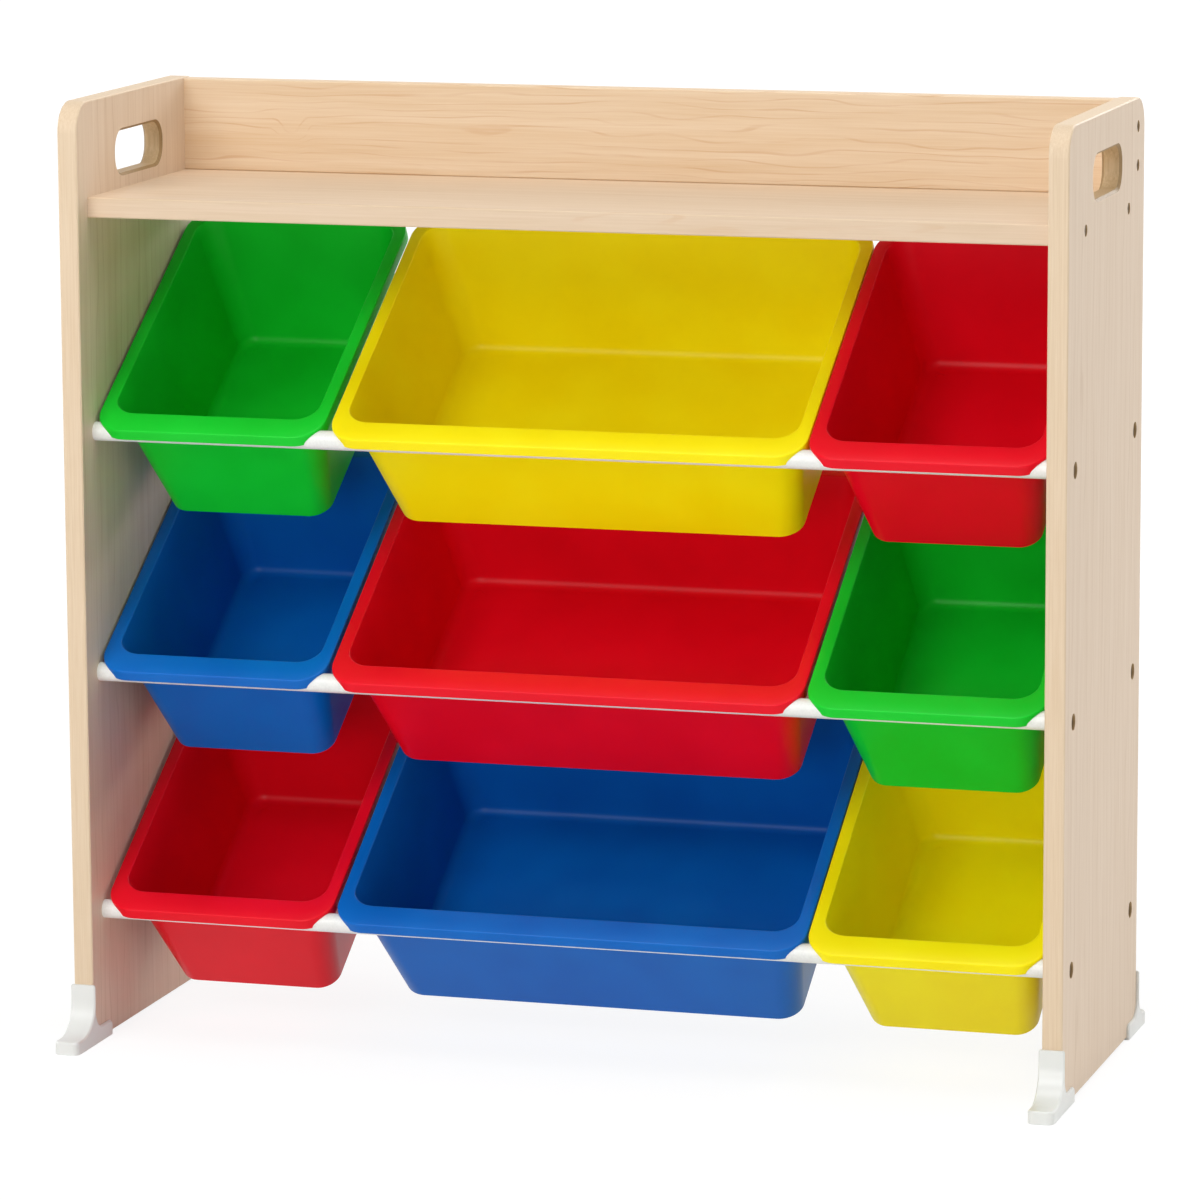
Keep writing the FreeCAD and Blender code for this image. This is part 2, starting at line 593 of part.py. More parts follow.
# ---------------------------------------------------------------- bins
# One-piece moulded bins with drafted walls, rounded corners and a flat rim whose edge turns down into
# a lip. The wide front flange lies on the front rail with the lip hooked over it, and the bottom
# lies on the rear rail, so the bin leans forward.
def moulded_bin(label, width, middle_x, tier):
    """Local Z=0 is the rim's top face and Y=0 its front edge; the bin hangs down from there."""
    body = new_body(label)
    half = "%s / 2" % width

    def rim_outline(sketch, inset):
        rounded_rectangle(
            sketch, "-(%s - %s)" % (half, inset), "%s - %s" % (half, inset),
            inset, "Dims.bin_length - " + inset, "Dims.rim_corner - " + inset)

    def wall_outline(sketch, lean, inset, corner):
        rounded_rectangle(
            sketch,
            "-(%s - Dims.side_flange - %s - %s)" % (half, lean, inset),
            "%s - Dims.side_flange - %s - %s" % (half, lean, inset),
            "Dims.front_flange + %s + %s" % (lean, inset),
            "Dims.bin_length - Dims.side_flange - %s - %s" % (lean, inset),
            "%s - %s" % (corner, inset))

    def wall_loft(kind, name, levels):
        """A ruled loft through the walls' outline at several levels, from the lowest up."""
        sections = []
        for step, (level, lean, inset, corner) in enumerate(levels, start=1):
            section = new_sketch(body, "%s_%d" % (name, step), "XY_Plane", level=level)
            wall_outline(section, lean, "(%s)" % inset, corner)
            section.Visibility = False
            sections.append(section)
        loft = body.newObject("PartDesign::" + kind, label + "_" + name)
        loft.Profile = sections[0]
        loft.Sections = sections[1:]
        loft.Ruled = True

    rim = new_sketch(body, "rim", "XY_Plane", level="-Dims.lip_height")
    rim_outline(rim, "0")
    pad(body, rim, "Dims.lip_height")
    under = new_sketch(body, "under_rim", "XY_Plane", level="-Dims.lip_height")
    rim_outline(under, "Dims.lip_thickness")
    pocket(body, under, length="Dims.lip_height - Dims.rim_thickness", reverse=True)

    # The front rail's centre seen from the rim's front edge: along the rim, and square to it. Its
    # saddle is a shallow groove in the rim's underside and an arch in the lip at each side.
    along = "(Dims.lip_thickness + Dims.hook_gap + Dims.rail_diameter / 2)"
    below = "(Dims.rim_thickness - Dims.saddle_depth + Dims.seat_gap + Dims.rail_diameter / 2)"
    saddle = new_sketch(body, "saddle", "YZ_Plane")
    circle_at(saddle, along, "-" + below, "Dims.rail_diameter + 2 * Dims.seat_gap")
    pocket(body, saddle, length=width, midplane=True)

    top_corner, low_corner = "Dims.wall_corner_top", "Dims.wall_corner_low"
    floor_level = "-Dims.bin_depth + Dims.bin_wall"
    wall_loft("AdditiveLoft", "walls", [
        ("-Dims.bin_depth", "Dims.wall_draft", "Dims.base_ease", low_corner),
        ("-Dims.bin_depth + Dims.base_ease", "Dims.wall_draft", "0", low_corner),
        ("-Dims.rim_thickness", "0", "0", top_corner),
    ])
    wall_loft("SubtractiveLoft", "cavity", [
        (floor_level, "Dims.wall_draft", "Dims.bin_wall + Dims.base_ease", low_corner),
        (floor_level + " + Dims.base_ease", "Dims.wall_draft", "Dims.bin_wall", low_corner),
        ("-Dims.mouth_ease", "0", "Dims.bin_wall", top_corner),
        ("0", "0", "Dims.bin_wall - Dims.mouth_ease", top_corner),
    ])

    def rim_edge(edge):
        box = edge.BoundBox
        on_outside = (
            box.YMin < size["rim_corner"] + 0.01 and box.YMin < size["front_flange"] - 5
            or box.YMax > size["bin_length"] - size["side_flange"] + 2
            or max(abs(box.XMin), abs(box.XMax)) > number(half) - size["side_flange"] + 2
        )
        return level_edge(edge, 0) and on_outside

    ease_edges(body, "rim_edge", "Dims.rim_ease", rim_edge)
    lean = "(Dims.bin_lean * 1 deg)"
    turn(body, X_AXIS, size["bin_lean"])
    place(
        body,
        x=str(middle_x),
        y="%s - (%s * cos%s + %s * sin%s)" % (FRONT_ROW, along, lean, below, lean),
        z="%s - (%s * sin%s - %s * cos%s)" % (RAIL_HEIGHTS[tier], along, lean, below, lean),
    )
    return body


for tier_name, row in BIN_ROWS.items():
    for colour, spot, middle_x in row:
        bin_width = "Dims.large_bin_width" if spot == "middle" else "Dims.small_bin_width"
        moulded_bin("%s_bin_%s_%s" % (colour, tier_name, spot), bin_width, middle_x, TIERS[tier_name])

# ---------------------------------------------------------------- check and write
doc.recompute()
faults = []
for item in doc.Objects:
    if "Invalid" in item.State or "Error" in item.State:
        faults.append(item.Label)
for item in sub_parts:
    if item.Shape.isNull() or not item.Shape.isValid() or not item.Shape.Solids:
        faults.append(item.Label + " shape")
if faults:
    raise SystemExit("Not built: " + ", ".join(faults))

os.makedirs("parts", exist_ok=True)
for item in sub_parts:
    item.Shape.exportStep("parts/%s.step" % item.Label)
    print("%-28s %3d solids %10.0f mm3" % (item.Label, len(item.Shape.Solids), item.Shape.Volume))
print(len(sub_parts), "parts written")
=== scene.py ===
import json
import math

import bpy
from mathutils import Euler, Matrix, Vector

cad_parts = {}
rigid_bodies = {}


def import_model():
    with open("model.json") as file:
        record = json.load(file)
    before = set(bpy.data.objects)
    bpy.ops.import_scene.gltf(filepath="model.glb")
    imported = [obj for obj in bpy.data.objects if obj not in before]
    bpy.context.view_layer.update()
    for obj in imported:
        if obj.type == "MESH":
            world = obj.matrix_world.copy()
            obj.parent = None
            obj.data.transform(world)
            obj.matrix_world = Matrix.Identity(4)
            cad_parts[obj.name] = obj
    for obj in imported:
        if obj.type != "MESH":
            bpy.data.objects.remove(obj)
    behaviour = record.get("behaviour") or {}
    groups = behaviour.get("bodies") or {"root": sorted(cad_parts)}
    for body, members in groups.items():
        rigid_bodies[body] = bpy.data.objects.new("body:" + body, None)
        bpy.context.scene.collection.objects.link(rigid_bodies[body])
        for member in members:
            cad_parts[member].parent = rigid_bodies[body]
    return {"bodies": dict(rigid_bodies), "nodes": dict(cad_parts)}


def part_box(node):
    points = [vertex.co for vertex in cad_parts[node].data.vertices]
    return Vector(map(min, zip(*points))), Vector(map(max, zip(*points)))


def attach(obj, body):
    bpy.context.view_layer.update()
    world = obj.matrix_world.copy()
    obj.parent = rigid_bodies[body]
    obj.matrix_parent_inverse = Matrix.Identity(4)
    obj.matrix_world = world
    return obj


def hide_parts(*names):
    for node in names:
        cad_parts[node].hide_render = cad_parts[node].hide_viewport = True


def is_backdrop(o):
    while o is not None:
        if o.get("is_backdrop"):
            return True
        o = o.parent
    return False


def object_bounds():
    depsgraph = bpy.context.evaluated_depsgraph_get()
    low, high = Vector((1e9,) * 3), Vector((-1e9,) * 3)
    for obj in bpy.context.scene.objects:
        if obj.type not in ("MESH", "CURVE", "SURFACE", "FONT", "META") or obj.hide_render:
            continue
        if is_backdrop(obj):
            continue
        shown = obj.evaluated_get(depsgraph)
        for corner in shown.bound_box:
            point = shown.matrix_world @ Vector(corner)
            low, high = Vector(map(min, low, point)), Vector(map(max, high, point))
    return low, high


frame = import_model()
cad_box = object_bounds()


# ------------------------------------------------------------------ side panels
# Two upright boards of fibreboard faced with maple-look melamine, the grain upright. The edges have
# a paler maple banding. The hand slot and the sunk screw bores are routed and show the brown core.
MM = 0.001


def linear(hex_colour):
    """A linear colour from an sRGB hex value such as "E8CFA8"."""
    channels = [int(hex_colour[i:i + 2], 16) / 255 for i in (0, 2, 4)]
    light = [c / 12.92 if c <= 0.04045 else ((c + 0.055) / 1.055) ** 2.4 for c in channels]
    return (*light, 1.0)


def add(tree, kind, inputs=None, **settings):
    """Adds a shader node; an input is a value, an output, or a node for its first output."""
    new = tree.nodes.new(kind)
    for name, value in settings.items():
        setattr(new, name, value)
    for socket, value in (inputs or {}).items():
        if isinstance(value, bpy.types.Node):
            value = next(output for output in value.outputs if output.enabled)
        if isinstance(value, bpy.types.NodeSocket):
            tree.links.new(value, new.inputs[socket])
        else:
            new.inputs[socket].default_value = value
    return new


def new_material(name, roughness, ior=1.5):
    """An opaque finish: returns the material, its node tree and its Principled shader."""
    material = bpy.data.materials.new(name)
    material.use_nodes = True
    tree = material.node_tree
    shader = tree.nodes["Principled BSDF"]
    shader.inputs["Roughness"].default_value = roughness
    shader.inputs["IOR"].default_value = ior
    return material, tree, shader


def dress(node, material):
    """Gives a CAD node or a new piece its material."""
    node.data.materials.clear()
    node.data.materials.append(material)


def maple_melamine(
        name, across, along, light, dark, line, line_strength, line_spacing=8 * MM, knots=()):
    """Printed maple on paper under melamine resin: fine fibres, soft bands and thin growth lines.

    across and along are the axes, 0 to 2, that the growth lines step over and run along. A knot
    is a centre, and how far round it the lines bend."""
    material, tree, shader = new_material(name, roughness=0.5)
    shader.inputs["Specular IOR Level"].default_value = 0.3
    place = add(tree, "ShaderNodeTexCoord").outputs["Object"]

    def streaks(width, length, detail=2.0):
        """Noise drawn out along the grain."""
        scale = [1 / width] * 3
        scale[along] = 1 / length
        drawn = add(tree, "ShaderNodeVectorMath", {0: place, 1: scale}, operation="MULTIPLY")
        return add(tree, "ShaderNodeTexNoise", {
            "Vector": drawn, "Scale": 1.0, "Detail": detail, "Roughness": 0.6}).outputs["Fac"]

    # The growth lines are the crests of a wave over the board. They sway, bend round the knots and
    # break off here and there.
    sway, knot_push = 34 * MM, 12 * MM
    level = add(tree, "ShaderNodeSeparateXYZ", {"Vector": place}).outputs[across]
    level = add(tree, "ShaderNodeMath", {
        0: streaks(38 * MM, 210 * MM), 1: sway, 2: level}, operation="MULTIPLY_ADD")
    for centre, reach in knots:
        gap = add(tree, "ShaderNodeVectorMath", {0: place, 1: centre}, operation="SUBTRACT")
        away = add(tree, "ShaderNodeVectorMath", {0: gap}, operation="LENGTH").outputs["Value"]
        bend = add(tree, "ShaderNodeMapRange", {
            "Value": away, "From Min": 0.0, "From Max": reach, "To Min": knot_push, "To Max": 0.0},
            interpolation_type="SMOOTHERSTEP")
        level = add(tree, "ShaderNodeMath", {0: level, 1: bend}, operation="ADD")
    turns = add(tree, "ShaderNodeMath", {
        0: level, 1: 2 * math.pi / line_spacing}, operation="MULTIPLY")
    wave = add(tree, "ShaderNodeMath", {0: turns}, operation="SINE")
    crest = add(tree, "ShaderNodeMapRange", {
        "Value": wave, "From Min": 0.80, "From Max": 1.0, "To Max": line_strength},
        interpolation_type="SMOOTHSTEP")
    broken = add(tree, "ShaderNodeMapRange", {
        "Value": streaks(12 * MM, 90 * MM), "From Min": 0.36, "From Max": 0.62})
    drawn_lines = add(tree, "ShaderNodeMath", {0: crest, 1: broken}, operation="MULTIPLY")

    # The ground between them is half fine fibres and half broad soft bands.
    fibres = streaks(1.5 * MM, 80 * MM, detail=3.0)
    bands = streaks(10 * MM, 300 * MM)
    both = add(tree, "ShaderNodeMath", {0: fibres, 1: bands}, operation="ADD")
    tone = add(tree, "ShaderNodeMapRange", {"Value": both, "From Min": 0.60, "From Max": 1.40})
    ground = add(tree, "ShaderNodeMix", {
        "Factor": tone, "A": linear(light), "B": linear(dark)}, data_type="RGBA")
    grain = add(tree, "ShaderNodeMix", {
        "Factor": drawn_lines, "A": ground, "B": linear(line)}, data_type="RGBA")

    # The press plate leaves faint pores in the melamine.
    pores = add(tree, "ShaderNodeBump", {
        "Strength": 0.25, "Distance": 0.02 * MM, "Height": fibres})
    tree.links.new(pores.outputs["Normal"], shader.inputs["Normal"])
    return material, tree, shader, place, grain, fibres


def panel_finish():
    """Melamine faces, paler banded edges, and brown fibreboard where the board is routed, with
    painted shade on the routed core's eased corners.
    """
    material, tree, shader, place, grain, fibres = maple_melamine(
        "maple_melamine_panel", across=1, along=2, light="E9D5BF", dark="DDC5AB",
        line="C9AC8C", line_strength=0.35, line_spacing=14 * MM)

    # A banded edge lies within 3 mm of the board's outline, and every other edge is routed.
    low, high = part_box("left_side_panel")
    middle_y, half_y, top = (low.y + high.y) / 2, (high.y - low.y) / 2, high.z
    corner, band_depth = 25 * MM, 3 * MM
    split = add(tree, "ShaderNodeSeparateXYZ", {"Vector": place}).outputs
    from_middle = add(tree, "ShaderNodeMath", {0: split["Y"], 1: middle_y}, operation="SUBTRACT")
    out_y = add(tree, "ShaderNodeMath", {0: from_middle}, operation="ABSOLUTE")
    beyond_y = add(tree, "ShaderNodeMath", {0: out_y, 1: half_y - corner}, operation="SUBTRACT")
    beyond_z = add(tree, "ShaderNodeMath", {0: split["Z"], 1: top - corner}, operation="SUBTRACT")
    past_y = add(tree, "ShaderNodeMath", {0: beyond_y, 1: 0.0}, operation="MAXIMUM")
    past_z = add(tree, "ShaderNodeMath", {0: beyond_z, 1: 0.0}, operation="MAXIMUM")
    past = add(tree, "ShaderNodeCombineXYZ", {"X": past_y, "Y": past_z, "Z": 0.0})
    reach = add(tree, "ShaderNodeVectorMath", {0: past}, operation="LENGTH").outputs["Value"]
    routed = add(tree, "ShaderNodeMath", {
        0: reach, 1: corner - band_depth}, operation="LESS_THAN")

    # The faces look sideways, the eased corners half sideways, and the square edges not at all.
    face_from, eased_from = 0.9, 0.5
    facing = add(tree, "ShaderNodeTexCoord").outputs["Normal"]
    across_board = add(tree, "ShaderNodeSeparateXYZ", {"Vector": facing}).outputs["X"]
    sideways = add(tree, "ShaderNodeMath", {0: across_board}, operation="ABSOLUTE")
    on_edge = add(tree, "ShaderNodeMath", {0: sideways, 1: face_from}, operation="LESS_THAN")
    square_edge = add(tree, "ShaderNodeMath", {
        0: sideways, 1: eased_from}, operation="LESS_THAN")

    tone = add(tree, "ShaderNodeMapRange", {"Value": fibres, "From Min": 0.3, "From Max": 0.75})
    banded = add(tree, "ShaderNodeMix", {
        "Factor": tone, "A": linear("E3CDB1"), "B": linear("D7BD9C")}, data_type="RGBA")
    core = add(tree, "ShaderNodeMix", {
        "Factor": tone, "A": linear("CDB189"), "B": linear("B99A6E")}, data_type="RGBA")
    # The eased corners of the routed core get a darker copy of the core's colour: painted shade for
    # the dark ring along the rounded edges of the slot and bores.
    painted_shade_eased_core = add(tree, "ShaderNodeMix", {
        "Factor": tone, "A": linear("AA8D63"), "B": linear("90744D")}, data_type="RGBA")
    bare = add(tree, "ShaderNodeMix", {
        "Factor": square_edge, "A": painted_shade_eased_core, "B": core}, data_type="RGBA")
    edge = add(tree, "ShaderNodeMix", {
        "Factor": routed, "A": banded, "B": bare}, data_type="RGBA")
    colour = add(tree, "ShaderNodeMix", {
        "Factor": on_edge, "A": grain, "B": edge}, data_type="RGBA")
    tree.links.new(colour.outputs["Result"], shader.inputs["Base Color"])
    return material


panel_melamine = panel_finish()
for side in ("left", "right"):
    dress(frame["nodes"][side + "_side_panel"], panel_melamine)


# ------------------------------------------------------------------ top shelf and back board
# Boards of the same melamine with the grain from side to side, screwed through the side panels. The
# back board stands on the shelf's rear edge and shows thin wavy growth lines that bend at a knot.
def board_finish(name, across, light, dark, line, line_strength, **figure):
    material, tree, shader, _, grain, _ = maple_melamine(
        name, across=across, along=0, light=light, dark=dark,
        line=line, line_strength=line_strength, **figure)
    tree.links.new(grain.outputs["Result"], shader.inputs["Base Color"])
    return material


back_low, back_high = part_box("back_board")
back_width, back_height = back_high.x - back_low.x, back_high.z - back_low.z
knot_across, knot_up, knot_reach = 0.12, 0.42, 24 * MM
knot = Vector((
    back_low.x + knot_across * back_width, back_low.y, back_low.z + knot_up * back_height))
dress(frame["nodes"]["back_board"], board_finish(
    "maple_melamine_back", across=2, light="E7D0B3", dark="DBBC96",
    line="CC9F74", line_strength=0.5, knots=[(knot, knot_reach)]))
dress(frame["nodes"]["top_shelf"], board_finish(
    "maple_melamine_shelf", across=1, light="DFC8AF", dark="D2B797",
    line="CDA57C", line_strength=0.3))


# ------------------------------------------------------------------ rails and end plugs
# Six steel tubes with white powder coat, 16 mm across, each closed at both ends by a white plastic
# plug whose collar lies against the side panel. The coat has the faint ripple of sprayed powder.
def powder_coat():
    material, tree, shader = new_material("white_powder_coat", roughness=0.32)
    place = add(tree, "ShaderNodeTexCoord").outputs["Object"]
    ripple_size = 1.6 * MM
    ripple = add(tree, "ShaderNodeTexNoise", {
        "Vector": place, "Scale": 1 / ripple_size, "Detail": 1.0})
    tone = add(tree, "ShaderNodeMapRange", {"Value": ripple, "From Min": 0.3, "From Max": 0.7})
    colour = add(tree, "ShaderNodeMix", {
        "Factor": tone, "A": linear("E6E7E3"), "B": linear("EDEEEA")}, data_type="RGBA")
    tree.links.new(colour.outputs["Result"], shader.inputs["Base Color"])
    bump = add(tree, "ShaderNodeBump", {"Strength": 0.15, "Distance": 0.03 * MM, "Height": ripple})
    tree.links.new(bump.outputs["Normal"], shader.inputs["Normal"])
    return material


def moulded_plastic(name, colour, shade, roughness, shine=0.5):
    """Injection-moulded plastic: an even colour, with the fine grain of the steel mould."""
    material, tree, shader = new_material(name, roughness=roughness, ior=1.49)
    shader.inputs["Specular IOR Level"].default_value = shine
    place = add(tree, "ShaderNodeTexCoord").outputs["Object"]
    # The mould's real grain, near 0.1 mm, is too fine to show and is drawn coarser.
    grain_size, cloud_size = 0.9 * MM, 60 * MM
    grain = add(tree, "ShaderNodeTexNoise", {
        "Vector": place, "Scale": 1 / grain_size, "Detail": 2.0})
    cloud = add(tree, "ShaderNodeTexNoise", {
        "Vector": place, "Scale": 1 / cloud_size, "Detail": 1.0})
    tone = add(tree, "ShaderNodeMapRange", {"Value": cloud, "From Min": 0.3, "From Max": 0.7})
    even = add(tree, "ShaderNodeMix", {
        "Factor": tone, "A": linear(shade), "B": linear(colour)}, data_type="RGBA")
    tree.links.new(even.outputs["Result"], shader.inputs["Base Color"])
    bump = add(tree, "ShaderNodeBump", {"Strength": 0.12, "Distance": 0.02 * MM, "Height": grain})
    tree.links.new(bump.outputs["Normal"], shader.inputs["Normal"])
    return material


rail_coat = powder_coat()
for tier in ("top", "middle", "bottom"):
    for row in ("front", "rear"):
        dress(frame["nodes"]["%s_rail_%s" % (row, tier)], rail_coat)
plug_plastic = moulded_plastic("white_polyethylene_plug", "EBECE8", "E4E5E1", roughness=0.4)
for side in ("left", "right"):
    dress(frame["nodes"]["rail_plugs_" + side], plug_plastic)


# ------------------------------------------------------------------ screws
# Flat-headed zinc-plated steel screws, sunk in their bores in the side panels' outer faces. The
# plate is soft and slightly mottled, and is toned the brown grey that the photograph shows.
def zinc_plate():
    material, tree, shader = new_material("zinc_plated_steel", roughness=0.38)
    shader.inputs["Metallic"].default_value = 1.0
    place = add(tree, "ShaderNodeTexCoord").outputs["Object"]
    mottle_size = 1.2 * MM
    mottle = add(tree, "ShaderNodeTexNoise", {
        "Vector": place, "Scale": 1 / mottle_size, "Detail": 2.0})
    tone = add(tree, "ShaderNodeMapRange", {"Value": mottle, "From Min": 0.3, "From Max": 0.7})
    colour = add(tree, "ShaderNodeMix", {
        "Factor": tone, "A": linear("8A7C69"), "B": linear("AC9C85")}, data_type="RGBA")
    tree.links.new(colour.outputs["Result"], shader.inputs["Base Color"])
    return material


screw_zinc = zinc_plate()
for kind in ("rail", "shelf", "back_board"):
    for side in ("left", "right"):
        dress(frame["nodes"]["%s_screws_%s" % (kind, side)], screw_zinc)


# ------------------------------------------------------------------ feet
# White polypropylene caps pushed over the panels' lower corners, moulded in one piece with a toe
# that sweeps out to the front or the rear. The surface is smooth, with a soft gloss.
foot_plastic = moulded_plastic("white_polypropylene_foot", "E8E9E5", "E1E2DE", roughness=0.3)
for end in ("front", "rear"):
    for side in ("left", "right"):
        dress(frame["nodes"]["%s_%s_foot" % (end, side)], foot_plastic)


# ------------------------------------------------------------------ bins
# Nine bins moulded in one piece from coloured polypropylene, with drafted walls, rounded corners
# and a flat rim turned down into a lip. Each hooks over a front rail and leans on a rear rail.
lean = math.radians(32.16)
bin_length, bin_depth, bin_wall = 298 * MM, 124.5 * MM, 2.2 * MM
rim_corner, mouth_corner, lip_height = 26 * MM, 19.8 * MM, 9.9 * MM
front_flange, side_flange = 23.7 * MM, 10.7 * MM
wall_draft = 20 * MM
rail_along, rail_below = 10.6 * MM, 10.6 * MM
seat_gap = 0.3 * MM


def only(thing):
    """Makes a thing the one selected and active object."""
    bpy.ops.object.select_all(action="DESELECT")
    thing.select_set(True)
    bpy.context.view_layer.objects.active = thing


def apply_modifier(thing, kind, **settings):
    only(thing)
    modifier = thing.modifiers.new(kind.lower(), kind)
    for setting, value in settings.items():
        setattr(modifier, setting, value)
    bpy.ops.object.modifier_apply(modifier=modifier.name)


def pick_edges(mesh, wanted):
    """Selects, in edit mode, only the edges that the test picks."""
    bpy.ops.mesh.select_mode(type="EDGE")
    bpy.ops.mesh.select_all(action="DESELECT")
    bpy.ops.object.mode_set(mode="OBJECT")
    for edge in mesh.edges:
        edge.select = wanted(edge)
    bpy.ops.object.mode_set(mode="EDIT")


def round_corners(corner):
    """Rounds the four corners of the selected flat sheet and leaves its outline open."""
    bpy.ops.mesh.bevel(offset=corner, segments=14, affect="VERTICES")
    bpy.ops.mesh.delete(type="ONLY_FACE")
    bpy.ops.mesh.select_all(action="DESELECT")


def moulded_bin(width):
    """A bin that lies level, its rim's top face at height 0 and its front edge on the X axis."""
    bpy.ops.object.select_all(action="DESELECT")
    bpy.ops.mesh.primitive_plane_add(size=1, location=(0, bin_length / 2, 0))
    shell = bpy.context.object
    shell.name = "bin_shell"
    shell.scale = (width, bin_length, 1)
    bpy.ops.object.transform_apply(location=True, rotation=False, scale=True)
    mesh = shell.data
    mouth_width = width - 2 * side_flange
    mouth_length = bin_length - side_flange - front_flange
    mouth_middle = front_flange + mouth_length / 2
    level_slack, depth_slack = 0.01 * MM, 0.1 * MM

    def inside_rim(point):
        """How far inside the rim's outline a point lies."""
        across = abs(point.x) - (width / 2 - rim_corner)
        along = abs(point.y - bin_length / 2) - (bin_length / 2 - rim_corner)
        if across <= 0 or along <= 0:
            return rim_corner - max(across, along)
        return rim_corner - math.hypot(across, along)

    def ring(height, least=0.0, most=bin_length):
        """A test for the edges round the bin at one height, by how far inside the rim they lie."""
        def wanted(edge):
            ends = [mesh.vertices[i].co for i in edge.vertices]
            level = all(abs(end.z - height) < level_slack for end in ends)
            return level and all(least - depth_slack < inside_rim(end) < most for end in ends)
        return wanted

    # The rim, between its own outline and the mouth's, and the lip. Its front flange is wider.
    bpy.ops.object.mode_set(mode="EDIT")
    bpy.ops.mesh.select_all(action="SELECT")
    round_corners(rim_corner)
    bpy.ops.mesh.primitive_plane_add(size=1, location=(0, mouth_middle, 0))
    bpy.ops.transform.resize(
        value=(mouth_width, mouth_length, 1), center_override=(0, mouth_middle, 0))
    round_corners(mouth_corner)
    bpy.ops.mesh.select_all(action="SELECT")
    bpy.ops.mesh.bridge_edge_loops()
    pick_edges(mesh, ring(0, most=1 * MM))
    bpy.ops.mesh.extrude_edges_move(TRANSFORM_OT_translate={"value": (0, 0, -lip_height)})

    # The walls, drawn down from the mouth and in by their draft, and the floor across them.
    drop = bin_depth - bin_wall
    pick_edges(mesh, ring(0, least=5 * MM))
    bpy.ops.mesh.extrude_edges_move(TRANSFORM_OT_translate={"value": (0, 0, -drop)})
    bpy.ops.transform.resize(
        value=(1 - 2 * wall_draft / mouth_width, 1 - 2 * wall_draft / mouth_length, 1),
        center_override=(0, mouth_middle, -drop))
    bpy.ops.mesh.edge_face_add()
    bpy.ops.mesh.select_all(action="SELECT")
    bpy.ops.mesh.normals_make_consistent(inside=False)
    bpy.ops.object.mode_set(mode="OBJECT")
    apply_modifier(shell, "SOLIDIFY", thickness=bin_wall, offset=-1, use_even_offset=True)

    # The bends: at the floor inside and outside, round the mouth and along the rim's edge, each
    # with its reach from the edge and its number of segments.
    bpy.ops.object.mode_set(mode="EDIT")
    bends = (
        (ring(-drop), 7.5 * MM, 6),
        (ring(-bin_depth), 9.5 * MM, 7),
        (ring(0, least=5 * MM), 1.2 * MM, 3),
        (ring(0, most=1 * MM), 1.5 * MM, 4),
    )
    for wanted, reach, segments in bends:
        pick_edges(mesh, wanted)
        bpy.ops.mesh.bevel(offset=reach, segments=segments, affect="EDGES", clamp_overlap=False)
    bpy.ops.object.mode_set(mode="OBJECT")
    return shell


def cut_bin(shell, width, rail_radius):
    """Cuts the saddles in the side lips for the front rail, and the faint marks of the mould."""
    def cutter(radius, depth, place, turned=(0, 0, 0)):
        bpy.ops.object.select_all(action="DESELECT")
        bpy.ops.mesh.primitive_cylinder_add(
            vertices=48, radius=radius, depth=depth, location=place, rotation=turned)
        tool = bpy.context.object
        apply_modifier(shell, "BOOLEAN", operation="DIFFERENCE", object=tool, solver="EXACT")
        bpy.data.objects.remove(tool)

    saddle_length = width + 10 * MM
    crosswise = (0, math.pi / 2, 0)
    cutter(rail_radius + seat_gap, saddle_length, (0, rail_along, -rail_below), crosswise)

    # Four ejector pins press on the floor inside, and the plastic comes in at a gate below it.
    pin_radius, gate_radius, mark_depth, from_corner = 4.5 * MM, 6 * MM, 0.3 * MM, 16 * MM
    floor_x = width / 2 - side_flange - wall_draft - from_corner
    floor_front = front_flange + wall_draft + from_corner
    floor_rear = bin_length - side_flange - wall_draft - from_corner
    for x in (-floor_x, floor_x):
        for y in (floor_front, floor_rear):
            cutter(pin_radius, 2 * mark_depth, (x, y, bin_wall - bin_depth))
    cutter(gate_radius, 2 * mark_depth, (0, (floor_front + floor_rear) / 2, -bin_depth))


bin_colours = {
    "green": ("12D030", "0CC628"),
    "yellow": ("FFF00A", "FCE800"),
    "red": ("EE0622", "E6031E"),
    "blue": ("036AC4", "0262BC"),
}
bin_plastics = {
    name: moulded_plastic(name + "_polypropylene", colour, shade, roughness=0.36, shine=0.2)
    for name, (colour, shade) in bin_colours.items()
}
rail_low, rail_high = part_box("front_rail_top")
rail_radius = (rail_high.z - rail_low.z) / 2
smooth_up_to = math.radians(38)
scene = bpy.context.scene
bins = [body for body in frame["bodies"] if "_bin_" in body]
shells = {}
for body in bins:
    colour, _, tier, _ = body.split("_")
    low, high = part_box(body)
    width = round(high.x - low.x, 4)
    if width not in shells:
        shells[width] = moulded_bin(width)
        cut_bin(shells[width], width, rail_radius)
    piece = shells[width].copy()
    piece.data = shells[width].data.copy()
    piece.name = body + "_shell"
    scene.collection.objects.link(piece)
    rail_low, rail_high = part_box("front_rail_" + tier)
    rail = (rail_low + rail_high) / 2
    piece.rotation_euler = (lean, 0, 0)
    piece.location = (
        (low.x + high.x) / 2,
        rail.y - (rail_along * math.cos(lean) + rail_below * math.sin(lean)),
        rail.z - (rail_along * math.sin(lean) - rail_below * math.cos(lean)),
    )
    only(piece)
    bpy.ops.object.transform_apply(location=True, rotation=True, scale=True)
    bpy.ops.object.shade_smooth_by_angle(angle=smooth_up_to)
    dress(piece, bin_plastics[colour])
    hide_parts(body)
    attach(piece, body)
for shell in shells.values():
    bpy.data.objects.remove(shell)


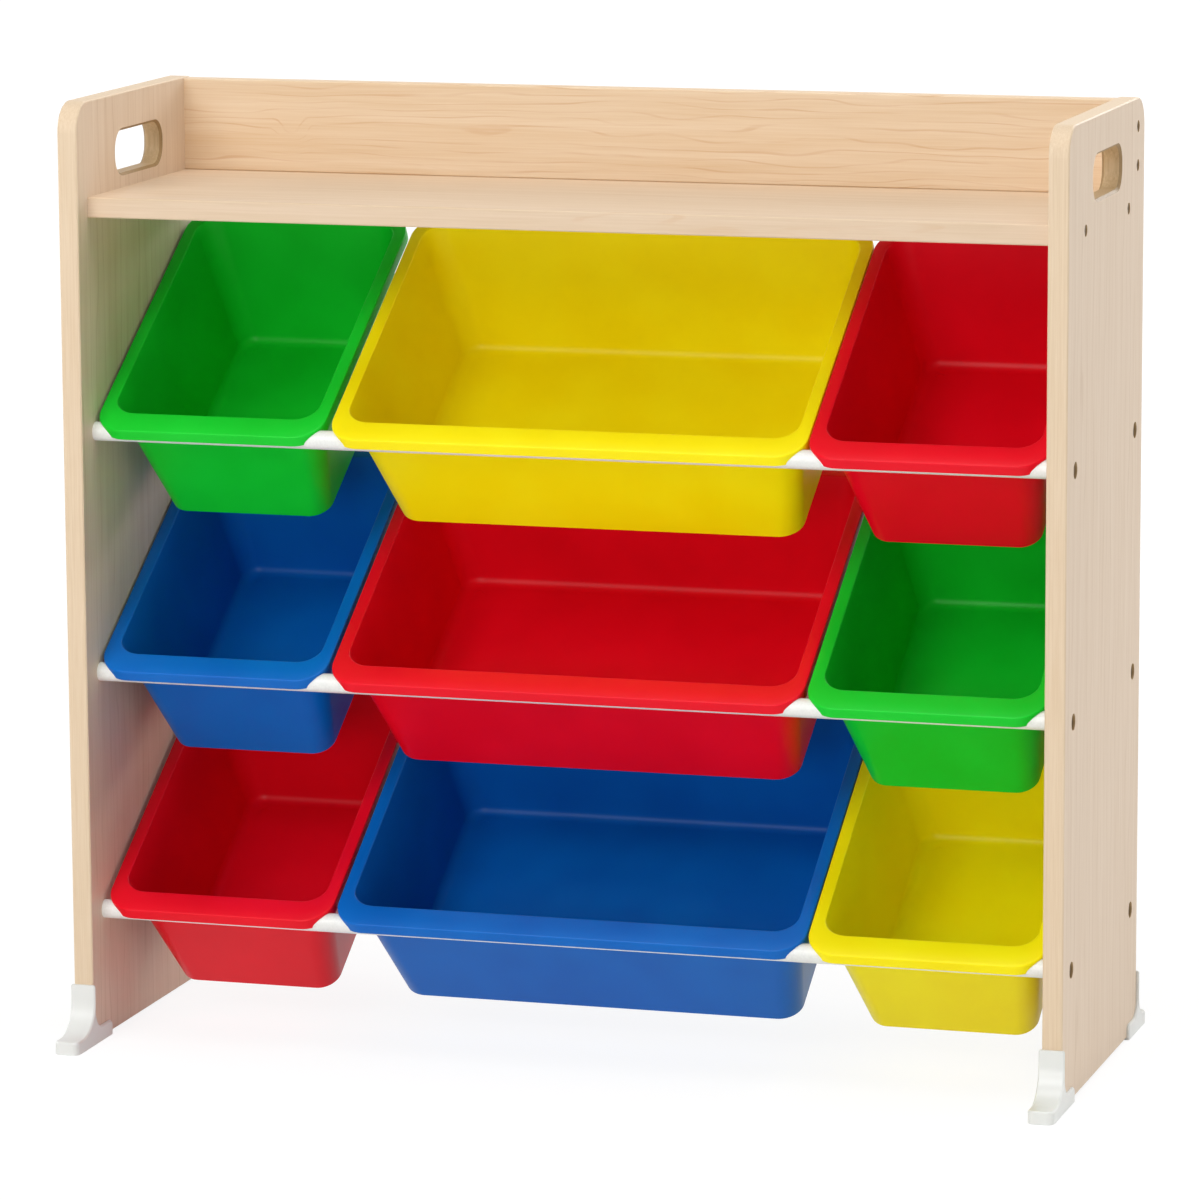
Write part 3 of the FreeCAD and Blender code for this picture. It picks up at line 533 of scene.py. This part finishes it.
# ------------------------------------------------------------------ floor, light and camera
# A plain pale floor under soft studio light: a broad lamp high at the front left, a low one in
# front and one overhead, with others at the sides and the rear. The camera is the photograph's.
def seen_directly(tree):
    """1 for what the camera sees, straight or in a gloss or glass, and 0 for light on things."""
    rays = add(tree, "ShaderNodeLightPath").outputs
    either = add(tree, "ShaderNodeMath", {
        0: rays["Is Camera Ray"], 1: rays["Is Glossy Ray"]}, operation="MAXIMUM")
    return add(tree, "ShaderNodeMath", {
        0: either, 1: rays["Is Transmission Ray"]}, operation="MAXIMUM")


def floor_finish():
    material, tree, shader = new_material("white_studio_floor", roughness=0.9)
    shader.inputs["Base Color"].default_value = linear("F4F4F4")
    output = tree.nodes["Material Output"]
    glow = add(tree, "ShaderNodeEmission", {"Color": (1, 1, 1, 1), "Strength": 1.08})
    place = add(tree, "ShaderNodeTexCoord").outputs["Object"]
    away = add(tree, "ShaderNodeVectorMath", {0: place}, operation="LENGTH").outputs["Value"]
    # The floor is evenly white further off, and near the object it still shows the shadow.
    white = add(tree, "ShaderNodeMapRange", {
        "Value": away, "From Min": 0.9, "From Max": 2.6, "To Min": 0.8, "To Max": 1.0},
        interpolation_type="SMOOTHSTEP")
    seen = add(tree, "ShaderNodeMath", {0: seen_directly(tree), 1: white}, operation="MULTIPLY")
    both = add(tree, "ShaderNodeMixShader", {"Fac": seen, 1: shader, 2: glow})
    tree.links.new(both.outputs[0], output.inputs["Surface"])
    return material


floor_size = 80
bpy.ops.object.select_all(action="DESELECT")
bpy.ops.mesh.primitive_plane_add(size=floor_size, location=(0, 0, 0))
floor = bpy.context.object
floor.name = "studio_floor"
dress(floor, floor_finish())
floor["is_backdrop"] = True

world = bpy.data.worlds.new("studio_surround")
world.use_nodes = True
scene.world = world
surround = world.node_tree
strength = add(surround, "ShaderNodeMapRange", {
    "Value": seen_directly(surround), "To Min": 0.16, "To Max": 1.0}).outputs[0]
background = surround.nodes["Background"]
background.inputs["Color"].default_value = (1, 1, 1, 1)
surround.links.new(strength, background.inputs["Strength"])


def softbox(name, place, target, width, height, power):
    """A lamp at a place, turned to a target; its sizes are in metres and its power is in watts."""
    lamp = bpy.data.lights.new(name, "AREA")
    lamp.shape = "RECTANGLE"
    lamp.size, lamp.size_y = width, height
    lamp.energy = power
    holder = bpy.data.objects.new(name, lamp)
    scene.collection.objects.link(holder)
    holder.location = place
    holder.rotation_euler = (Vector(target) - Vector(place)).to_track_quat("-Z", "Y").to_euler()
    holder.visible_camera = False


softbox("key_softbox", (-1.0, -3.7, 2.7), (0, 0, 0.4), 2.2, 2.0, 81)
softbox("front_softbox", (-0.3, -4.8, 0.6), (0, 0, 0.3), 2.2, 1.2, 46)
softbox("overhead_softbox", (0.2, -0.4, 3.3), (0, 0, 0.5), 2.0, 2.0, 43)
softbox("right_softbox", (3.6, 0.6, 1.2), (0.4, 0, 0.5), 1.6, 2.0, 33)
softbox("left_softbox", (-3.6, 0.6, 1.2), (-0.4, 0, 0.5), 1.6, 2.0, 30)
softbox("rear_softbox", (1.2, 3.6, 2.3), (0, 0, 0.5), 2.0, 1.6, 60)

# The camera's place, lens and turn were fitted to the photograph.
camera_data = bpy.data.cameras.new("camera")
camera_data.lens, camera_data.sensor_width = 184.59, 36
camera_data.clip_end = 200
camera = bpy.data.objects.new("camera", camera_data)
scene.collection.objects.link(camera)
pitch, yaw, roll = (math.radians(a) for a in (10.008, 16.924, -0.306))
turned = Euler((math.pi / 2 - pitch, 0, yaw)).to_matrix() @ Matrix.Rotation(roll, 3, "Z")
camera.matrix_world = Matrix.Translation((1.48603, -4.89099, 1.28186)) @ turned.to_4x4()
scene.camera = camera
scene.view_settings.view_transform = "Standard"

boxes = {"cad": cad_box, "visual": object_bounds()}
plain = {name: [[round(c, 5) for c in corner] for corner in box] for name, box in boxes.items()}
